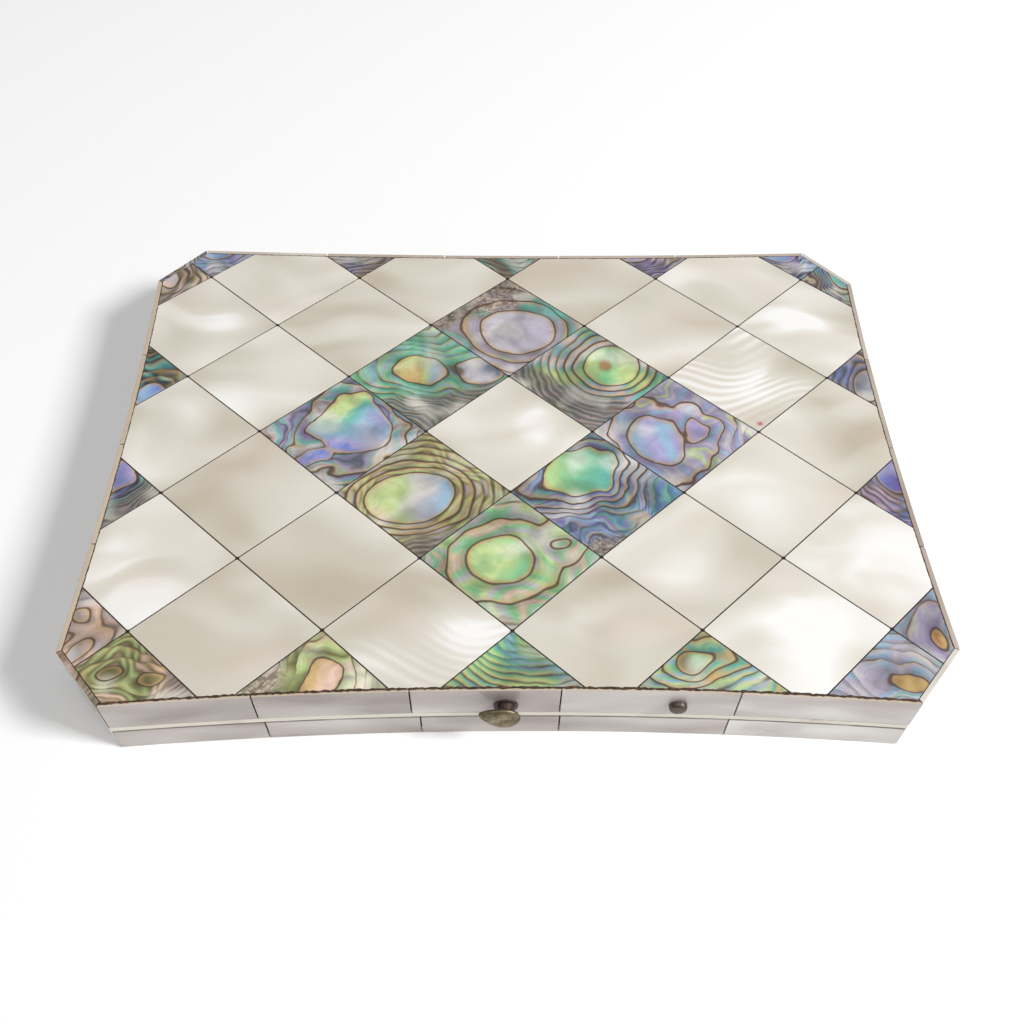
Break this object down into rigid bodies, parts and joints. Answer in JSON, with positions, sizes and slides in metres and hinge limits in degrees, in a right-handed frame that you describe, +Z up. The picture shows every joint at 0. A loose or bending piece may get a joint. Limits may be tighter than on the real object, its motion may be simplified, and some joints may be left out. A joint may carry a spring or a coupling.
{
  "type": "games case",
  "caption": "Pocket games case with hollow sides and clipped corners: two shell-veneered trays on back hinges, with a push-button catch.",
  "frame": {"origin": "centre of the flat underside, on the surface the case lies on", "axes": "+X along the hinge line (the long way), +Y from the button towards the hinges, +Z up through the lid"},
  "size_m": [0.11, 0.0829, 0.0109],
  "materials": {
    "case_wood": "stained hardwood, satin",
    "pearl_shell": "polished mother-of-pearl",
    "abalone_shell": "polished abalone shell",
    "cream_band": "cream edging, satin",
    "ebonised_field": "ebonised with inlaid points, satin",
    "aged_brass": "dull, aged",
    "dark_steel": "darkened"
  },
  "bodies": {
    "base": {"base_carcass": "case_wood", "base_corner_back_left": "pearl_shell", "base_corner_back_right": "pearl_shell", "base_corner_front_left": "pearl_shell", "base_corner_front_right": "pearl_shell", "base_playing_field": "ebonised_field", "base_strip_back": "pearl_shell", "base_strip_front": "pearl_shell", "base_strip_left": "pearl_shell", "base_strip_right": "pearl_shell", "base_underside_shell": "pearl_shell", "hinge_left_base_leaf": "aged_brass", "hinge_left_base_screw_left": "aged_brass", "hinge_left_base_screw_right": "aged_brass", "hinge_left_pin": "dark_steel", "hinge_right_base_leaf": "aged_brass", "hinge_right_base_screw_left": "aged_brass", "hinge_right_base_screw_right": "aged_brass", "hinge_right_pin": "dark_steel", "latch_keeper": "aged_brass", "latch_keeper_screw_left": "dark_steel", "latch_keeper_screw_right": "dark_steel"},
    "lid": {"button_collar": "aged_brass", "hinge_left_lid_leaf": "aged_brass", "hinge_left_lid_screw_left": "aged_brass", "hinge_left_lid_screw_right": "aged_brass", "hinge_right_lid_leaf": "aged_brass", "hinge_right_lid_screw_left": "aged_brass", "hinge_right_lid_screw_right": "aged_brass", "latch_anchor_pin": "dark_steel", "lid_carcass": "case_wood", "lid_corner_back_left": "abalone_shell", "lid_corner_back_right": "pearl_shell", "lid_corner_front_left": "abalone_shell", "lid_corner_front_right": "pearl_shell", "lid_edge_band": "cream_band", "lid_playing_field": "ebonised_field", "lid_strip_back": "pearl_shell", "lid_strip_front": "pearl_shell", "lid_strip_left": "pearl_shell", "lid_strip_right": "pearl_shell", "lid_top_shell": "pearl_shell"},
    "push_button": {"button_head": "aged_brass", "button_stem": "aged_brass"},
    "latch_arm": {"latch_spring_arm": "dark_steel", "latch_tooth": "dark_steel"}
  },
  "joints": [
    {"name": "lid_hinge", "type": "hinge", "parent": "base", "child": "lid", "pos_m": [0, 0.04115, 0.00545], "axis": [-1, 0, 0], "range_deg": [0, 180]},
    {"name": "button_press", "type": "slide", "parent": "lid", "child": "push_button", "axis": [0, 1, 0], "range_m": [0, 0.0008], "stiffness_N_per_m": 400, "springref_m": -0.001},
    {"name": "latch_flex", "type": "hinge", "parent": "lid", "child": "latch_arm", "pos_m": [0.0201, -0.0374, 0.0078], "axis": [0, 0, -1], "range_deg": [0, 2.3]}
  ],
  "couplings": [
    {"joint": "latch_flex", "follows": "button_press", "rad_per_m": 48.077}
  ]
}
